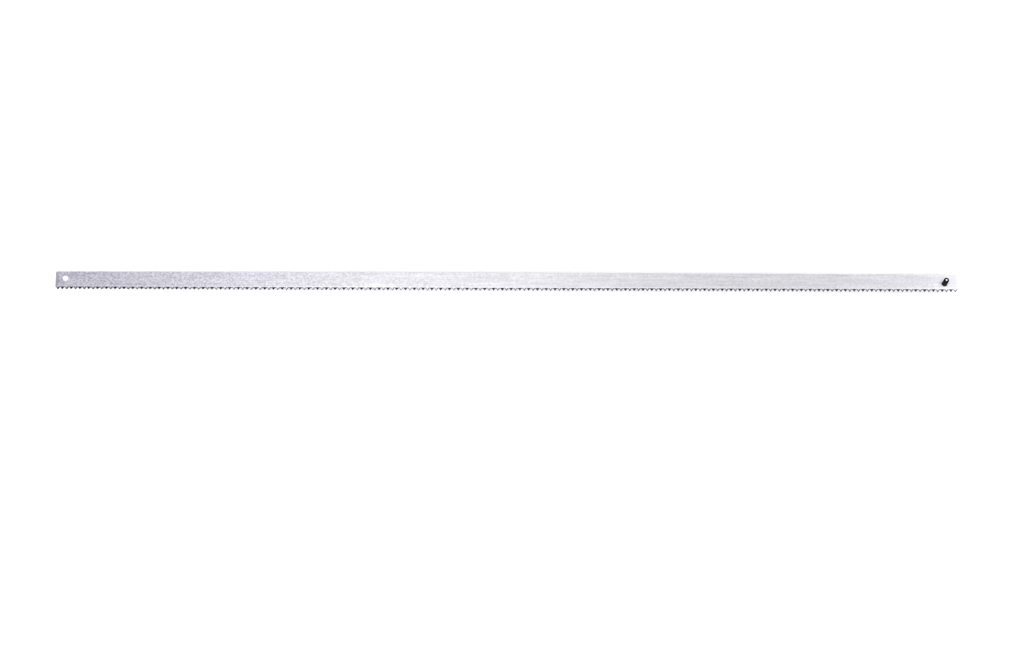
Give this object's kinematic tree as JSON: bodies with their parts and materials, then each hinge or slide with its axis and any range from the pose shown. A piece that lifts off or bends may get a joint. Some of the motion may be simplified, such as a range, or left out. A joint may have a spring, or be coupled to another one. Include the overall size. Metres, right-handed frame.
{
  "type": "meat saw blade",
  "caption": "Thin straight steel blade for a hand meat saw, with a set of bent teeth along one edge, a round hole at one end and a cross pin at the other.",
  "frame": {"origin": "centre of the round hole, half way through the blade's thickness", "axes": "+X along the blade from the hole to the pin, +Y across it towards the back edge, +Z square to its faces"},
  "size_m": [0.6514, 0.0134, 0.0188],
  "materials": {
    "blade_steel": "bright ground steel with a fine grain along its length",
    "pin_steel": "black oxide, smooth, with a bright worn end"
  },
  "bodies": {
    "root": {"blade": "blade_steel", "pin": "pin_steel"}
  },
  "joints": []
}
